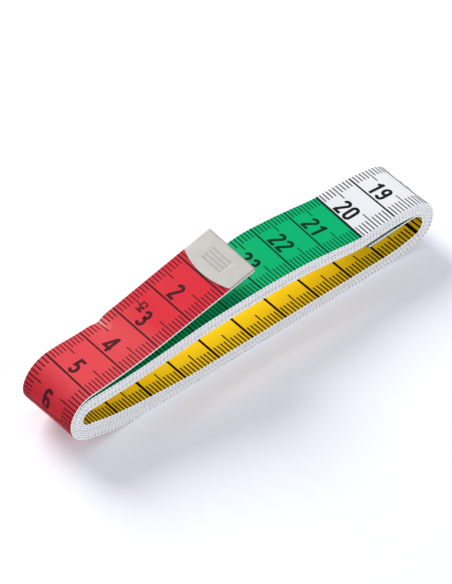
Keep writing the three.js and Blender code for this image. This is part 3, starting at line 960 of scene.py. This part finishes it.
def stroke_sides(points, half):
    steps = np.diff(points, axis=0)
    steps /= np.hypot(*steps.T)[:, None]
    closed = np.allclose(points[0], points[-1])
    first, last = (steps[-1], steps[0]) if closed else (steps[0], steps[-1])
    before, after = np.vstack([first, steps]), np.vstack([steps, last])
    along = before + after
    along /= np.hypot(*along.T)[:, None]
    reach = half / np.maximum((along * before).sum(1), MITRE_LIMIT)
    aside = np.column_stack([-along[:, 1], along[:, 0]]) * reach[:, None]
    return points + aside, points - aside


def draw_figure(figure, to_tape, corners, faces, stroke=STROKE):
    """Adds the bars of one figure. to_tape takes its points, and a height, to the flat tape."""
    for middle_line in FIGURES[figure]:
        left, right = stroke_sides(even_points(middle_line), stroke / 2)
        start, count = len(corners), len(left)
        below = INK_FILM - INK_DEPTH
        for side, height in ((left, INK_FILM), (right, INK_FILM), (right, below), (left, below)):
            corners += [to_tape(x, y, height) for x, y in side]
        for lane in range(4):
            a, b = start + lane * count, start + (lane + 1) % 4 * count
            faces += [(a + i, b + i, b + i + 1, a + i + 1) for i in range(count - 1)]
        if not np.allclose(middle_line[0], middle_line[-1]):
            ring = [start + lane * count for lane in range(4)]
            faces += [tuple(ring[::-1]), tuple(corner + count - 1 for corner in ring)]


print("points along a 1:", len(even_points(FIGURES["1"][0])))

# %% [markdown]
# The numbers stand beside their centimetre lines and read along the tape: from the outer end on the
# front, and from the inner end on the back. Only those that show are drawn. A small generic unit
# mark stands on the front, near the outer end.

# %% Numbers on both faces
FIGURE_HEIGHT = 4.7 * MM
FIGURE_FOOT = 0.65 * MM
FIGURE_PITCH = 0.58
NUMBERS_CENTRE, BACK_NUMBERS_CENTRE = 0.47, 0.33
BACK_NUMBER_SIZE, LONG_NUMBER_SIZE = 0.86, 0.8
SHOWN_FRONT = [*range(1, 29), 148, 149]
SHOWN_BACK = [*range(1, 27), *range(145, 150)]
UNIT_RUN, UNIT_ACROSS = 23.75 * MM, 0.245
UNIT_HEIGHT, UNIT_PITCH, UNIT_STROKE = 1.85 * MM, 0.7, 0.21


def print_numbers(name, start, end):
    corners, faces = [], []
    for on_the_back, shown in ((False, SHOWN_FRONT), (True, SHOWN_BACK)):
        for number in shown:
            from_end = number * CENTIMETRE * MM
            line_at = TAPE_LENGTH - from_end if on_the_back else from_end
            heading = 1 if on_the_back else -1
            foot = line_at + heading * FIGURE_FOOT
            if not start <= foot + heading * FIGURE_HEIGHT / 2 < end:
                continue
            text = str(number)
            size = FIGURE_HEIGHT * (LONG_NUMBER_SIZE if len(text) > 2 else 1)
            size *= BACK_NUMBER_SIZE if on_the_back else 1
            width = (FIGURE_PITCH * (len(text) - 1) + FIGURE_WIDTH) * size
            centre = BACK_NUMBERS_CENTRE if on_the_back else NUMBERS_CENTRE
            left = TAPE_WIDTH * (centre - 0.5) - width / 2
            level = FRONT_LEVEL - (COIL_THICKNESS if on_the_back else 0)
            for place, figure in enumerate(text):
                def to_tape(x, y, height, begin=left + place * FIGURE_PITCH * size):
                    return foot + heading * y * size, begin + x * size, level - heading * height
                draw_figure(figure, to_tape, corners, faces)
    if start <= UNIT_RUN < end:
        across = TAPE_WIDTH * (UNIT_ACROSS - 0.5)
        for place, letter in enumerate("CM"):
            def to_tape(x, y, height, begin=UNIT_RUN + place * UNIT_PITCH * UNIT_HEIGHT):
                return begin + x * UNIT_HEIGHT, across + y * UNIT_HEIGHT, FRONT_LEVEL + height
            draw_figure(letter, to_tape, corners, faces, UNIT_STROKE)
    mesh = bpy.data.meshes.new(name)
    mesh.from_pydata(corners, [], faces)
    return mesh


def print_tape(name, start, end):
    source = new_object(name + "_flat", print_numbers(name + "_flat", start, end))
    add_scales(source, start, end)
    add_tree(source, WIND, Path=path_object)
    return new_object(name, plain_mesh(source, name))


print("numbers on the front:", len(SHOWN_FRONT), "and on the back:", len(SHOWN_BACK))

# %% [markdown]
# ## Lengths of tape
#
# Four hinge lines lie across the free end, and the tape is cut halfway between them; ribbon and
# print of a length are cut at the same two points. The points a little before and after each hinge
# line are kept with its length, but nothing here bends it. The tape stops a little short of its two
# ends, inside the folds of the clips.

# %% Where the tape is cut
FLEX_LINES, FIRST_FLEX, FLEX_SPACING = 4, 2 * MM, 10 * MM
BLEND_HALF = 4 * MM
INSIDE_FOLD = 0.5 * MM

free_end = FREE_END_STRAIGHT + FREE_END_CURVE
flex_runs = [free_end - FIRST_FLEX - i * FLEX_SPACING for i in range(FLEX_LINES)]
inner_flex = TAPE_LENGTH - INNER_END_STRAIGHT
cuts = [flex + FLEX_SPACING / 2 for flex in flex_runs]
inner_cut = inner_flex - FLEX_SPACING / 2


def point_at(run):
    return (np.interp(run, runs, line[:, 0]), 0.0, np.interp(run, runs, line[:, 1]))


lengths = [{"name": "coil", "from": cuts[0], "to": inner_cut}]
for index, flex in enumerate(flex_runs):
    bodies = ["coil" if index == 0 else f"free_end_{index}", f"free_end_{index + 1}"]
    start = cuts[index + 1] if index + 1 < FLEX_LINES else INSIDE_FOLD
    lengths.append({
        "name": bodies[1], "from": start, "to": cuts[index], "bodies": bodies,
        "bends": (point_at(flex + BLEND_HALF), point_at(flex - BLEND_HALF))})
lengths.append({
    "name": "inner_end", "from": inner_cut, "to": TAPE_LENGTH - INSIDE_FOLD,
    "bodies": ["coil", "inner_end"],
    "bends": (point_at(inner_flex - BLEND_HALF), point_at(inner_flex + BLEND_HALF))})
print("cut at, mm:", [round(run / MM, 1) for run in (*cuts, inner_cut)])

# %% Cut, print and wind every length
for part in lengths:
    name, start, end = part["name"], part["from"], part["to"]
    ribbon = cut_tape(f"tape_{name}", start, end)
    print_film = print_tape(f"print_{name}", start, end)
    for piece in (ribbon, print_film):
        if "bends" in part:
            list(part["bodies"])
            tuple(part["bends"][0])
            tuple(part["bends"][1])
            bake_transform(piece)
        else:
            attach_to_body(piece, name)
    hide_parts(*(f"{name}_{layer}" for layer in ("front_coat", "glass_core", "back_coat")))
    "printed_pvc" if name in ("coil", "inner_end") else "red_pvc"
    round(end - start, 4)
    "folded" if name == "coil" else "laid"
    print(name, "mm:", round((end - start) / MM, 1), "faces:", len(ribbon.data.polygons),
          "and", len(print_film.data.polygons))

# %% [markdown]
# ## The end clips
#
# A clip is a strip of thin sheet folded over the end of the tape and pressed flat. Its free edge bows
# out along the tape. It is a grid that runs from one free edge round the fold to the other: every
# column is as long as the bow allows there. Offsetting the grid to both sides gives the sheet its
# thickness, and a little less of it at the rim breaks the edge. The face has a few pressed grooves,
# which grip the tape. It is made flat and wound as the tape is.

# %% The sheet of a clip
CLIP_SHEET, CLIP_CLEARANCE = 0.25 * MM, 0.03 * MM
CLIP_WIDTH = TAPE_WIDTH - 0.04 * MM
CLIP_SIDE_LENGTH, CLIP_MIDDLE_LENGTH = 8 * MM, 9.7 * MM
CLIP_CORNER, CLIP_RIM = 0.6 * MM, 0.06 * MM
CLIP_ROWS, FOLD_ROWS, CLIP_COLUMNS, RIM_SHARE = 84, 14, 96, 0.006
GROOVES, GROOVE_PITCH, GROOVE_LENGTH = 4, 1.1 * MM, 6.2 * MM
GROOVE_WIDTH, GROOVE_DEPTH, GROOVES_FROM = 0.5 * MM, 0.09 * MM, 3.1 * MM


def rimmed(count):
    """Even steps from 0 to 1 with a narrow first and last one."""
    return [0, *np.linspace(RIM_SHARE, 1 - RIM_SHARE, count - 2), 1]


def groove_depth(run, across):
    depth = 0
    for groove in range(GROOVES):
        gap = abs(run - GROOVES_FROM - groove * GROOVE_PITCH)
        gap = math.hypot(gap, max(0, abs(across) - GROOVE_LENGTH / 2))
        depth = max(depth, GROOVE_DEPTH * (1 - smooth_step(gap, 0, GROOVE_WIDTH / 2)))
    return depth


def clip_grid():
    """Rows of (run, across, height, normal along the run, normal in height, at the rim)."""
    half = CLIP_WIDTH / 2
    bow = CLIP_MIDDLE_LENGTH - CLIP_SIDE_LENGTH
    bow_radius = (half * half + bow * bow) / (2 * bow)
    rise = END_THICKNESS / 2 + CLIP_CLEARANCE + CLIP_SHEET / 2
    turn_at = rise + CLIP_SHEET / 2
    steps = rimmed(CLIP_ROWS)
    rows = [("top", 1 - t) for t in steps]
    rows += [("fold", t) for t in np.linspace(0, 1, FOLD_ROWS)[1:-1]]
    rows += [("under", t) for t in steps]
    grid = []
    for index, (part, t) in enumerate(rows):
        cells = []
        for share in rimmed(CLIP_COLUMNS):
            across = (2 * share - 1) * half
            edge = CLIP_MIDDLE_LENGTH - bow_radius + math.sqrt(bow_radius**2 - across**2)
            if part == "fold":
                angle = math.pi * (0.5 + t)
                run, height = turn_at + rise * math.cos(angle), rise * math.sin(angle)
                normal = (math.cos(angle), math.sin(angle))
            else:
                sign = 1 if part == "top" else -1
                run, height, normal = turn_at + t * (edge - turn_at), sign * rise, (0, sign)
                if part == "top":
                    height -= groove_depth(run, across)
            corner = max(0, CLIP_CORNER - run)
            narrower = CLIP_CORNER - math.sqrt(max(0, CLIP_CORNER**2 - corner**2))
            rim = index in (0, len(rows) - 1) or share in (0, 1)
            cells.append((run, across * (1 - narrower / half), height, *normal, rim))
        grid.append(cells)
    return grid


print("grid of a clip:", len(clip_grid()), "x", CLIP_COLUMNS)

# %% A closed clip at each end
TAPE_MIDDLE = FRONT_LEVEL - END_THICKNESS / 2
CLIPS = (("outer_end_clip", "free_end_4", True), ("inner_end_clip", "inner_end", False))


def clip_piece(name, at_the_start):
    grid = clip_grid()
    corners = []
    for side in (1, -1):
        for cells in grid:
            for run, across, height, normal_run, normal_height, rim in cells:
                reach = side * (CLIP_SHEET / 2 - (CLIP_RIM if rim else 0))
                x, z = run + normal_run * reach, height + normal_height * reach
                if not at_the_start:
                    x, z = TAPE_LENGTH - x, -z
                level = (TAPE_MIDDLE + z - FRONT_LEVEL) * COIL_THICKNESS / END_THICKNESS
                corners.append((x, across, FRONT_LEVEL + level))
    rows, columns = len(grid), len(grid[0])
    inner = rows * columns
    faces = []
    for r in range(rows - 1):
        for c in range(columns - 1):
            a, b = r * columns + c, (r + 1) * columns + c
            faces.append((a, b, b + 1, a + 1))
            faces.append((inner + a, inner + a + 1, inner + b + 1, inner + b))
    ring = list(range(columns))
    ring += [r * columns + columns - 1 for r in range(1, rows)]
    ring += [(rows - 1) * columns + c for c in range(columns - 2, -1, -1)]
    ring += [r * columns for r in range(rows - 2, 0, -1)]
    for a, b in zip(ring, ring[1:] + ring[:1]):
        faces.append((a, b, inner + b, inner + a))
    mesh = bpy.data.meshes.new(name)
    mesh.from_pydata(corners, [], faces)
    mesh.materials.append(nickel)
    source = new_object(name + "_flat", mesh)
    add_tree(source, WIND, Path=path_object)
    return new_object(name, smooth_shaded(plain_mesh(source, name)))


for node, body, at_the_start in CLIPS:
    clip = clip_piece("nickel_" + node, at_the_start)
    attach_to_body(clip, body)
    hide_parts(node)
    print(clip.name, "faces:", len(clip.data.polygons))

bpy.data.objects.remove(path_object)

# %% [markdown]
# ## Floor
#
# The picture is a bright table shot on white. The floor is a plain white surface that takes the
# shadow. More light would wash the object out, so the floor glows a little instead, and more so far
# away, but only for the camera and for what reflections and glass show. The Light Path node tells
# these rays from those that light the object.

# %% Floor
FLOOR_SIZE, FLOOR_LEVEL = 4.0, -0.02 * MM
FLOOR_WHITE, FLOOR_GREY, FLOOR_GRAIN = "#E8E8EA", "#E4E4E7", 60.0
FLOOR_ROUGHNESS, FLOOR_SPECULAR = 0.9, 0.1
FLOOR_GLOW, FAR_GLOW = 0.24, 0.9
FAR_FROM, FAR_TO = 0.2, 0.9
BLACK, WHITE = (0, 0, 0, 1), (1, 1, 1, 1)


def seen_directly(nodes):
    rays = nodes.node("ShaderNodeLightPath")
    seen = nodes.math("MAXIMUM", rays.other("Is Camera Ray"), rays.other("Is Glossy Ray"))
    return nodes.math("MAXIMUM", seen, rays.other("Is Transmission Ray"))


def floor_finish():
    material, nodes, shader = new_material("white table")
    position = on_the_piece(nodes)
    grain = noise(nodes, position, FLOOR_GRAIN)
    plug(shader, Base_Color=nodes.mix(grain, linear(FLOOR_GREY), linear(FLOOR_WHITE)))
    plug(shader, Roughness=FLOOR_ROUGHNESS, Specular_IOR_Level=FLOOR_SPECULAR)
    away = nodes.node("ShaderNodeVectorMath", {"operation": "LENGTH"}, {0: position}, "Value")
    glow = seen_directly(nodes) * ramp(nodes, away, FAR_FROM, FAR_TO, FLOOR_GLOW, FAR_GLOW)
    plug(shader, Emission_Color=nodes.mix(glow, BLACK, WHITE), Emission_Strength=1.0)
    return material


square = ((-1, -1), (1, -1), (1, 1), (-1, 1))
floor_corners = [(x * FLOOR_SIZE / 2, y * FLOOR_SIZE / 2, FLOOR_LEVEL) for x, y in square]
floor_mesh = bpy.data.meshes.new("floor")
floor_mesh.from_pydata(floor_corners, [], [(0, 1, 2, 3)])
floor_mesh.materials.append(floor_finish())
floor = new_object("floor", floor_mesh)
print("floor, m:", FLOOR_SIZE)

# %% [markdown]
# ## Light
#
# A broad warm lamp stands behind the coil, on the left in the picture, like a window. A large white
# card in front of it lights the near edge, and a pale blue sky fills the shadow. The lamps are disks
# that aim at the origin, since a large disk gives soft edges to a shadow.

# %% Lamps
WINDOW = {"place": (0.05, 0.8, 0.606), "size": 0.62, "power": 11.2, "colour": (1.0, 0.975, 0.935)}
FRONT_CARD = {"place": (0.05, -1.03, 0.46), "size": 1.0, "power": 6.2, "colour": (1.0, 1.0, 1.0)}


def area_lamp(name, place, size, power, colour):
    lamp = bpy.data.lights.new(name, "AREA")
    lamp.shape, lamp.size, lamp.energy, lamp.color = "DISK", size, power, colour
    holder = bpy.data.objects.new(name, lamp)
    holder.location = place
    holder.rotation_euler = (-Vector(place)).to_track_quat("-Z", "Y").to_euler()
    bpy.context.scene.collection.objects.link(holder)


area_lamp("window", **WINDOW)
area_lamp("front card", **FRONT_CARD)
print("lamps, W:", WINDOW["power"], "and", FRONT_CARD["power"])

# %% Sky
SKY, SKY_LIGHT, BACKDROP_LIGHT = "#D0DAFC", 0.37, 1.0

world = bpy.data.worlds.new("studio")
world.use_nodes = True
bpy.context.scene.world = world
sky = Wire(world.node_tree)
light = sky.node("ShaderNodeBackground", inputs={"Color": linear(SKY), "Strength": SKY_LIGHT})
backdrop = sky.node("ShaderNodeBackground", inputs={"Color": WHITE, "Strength": BACKDROP_LIGHT})
mixed = sky.node("ShaderNodeMixShader", inputs={0: seen_directly(sky), 1: light, 2: backdrop})
output = next(node for node in world.node_tree.nodes if node.type == "OUTPUT_WORLD")
plug(output, Surface=mixed)
bpy.context.scene.view_settings.view_transform = "Standard"
print("sky:", SKY, "at", SKY_LIGHT)
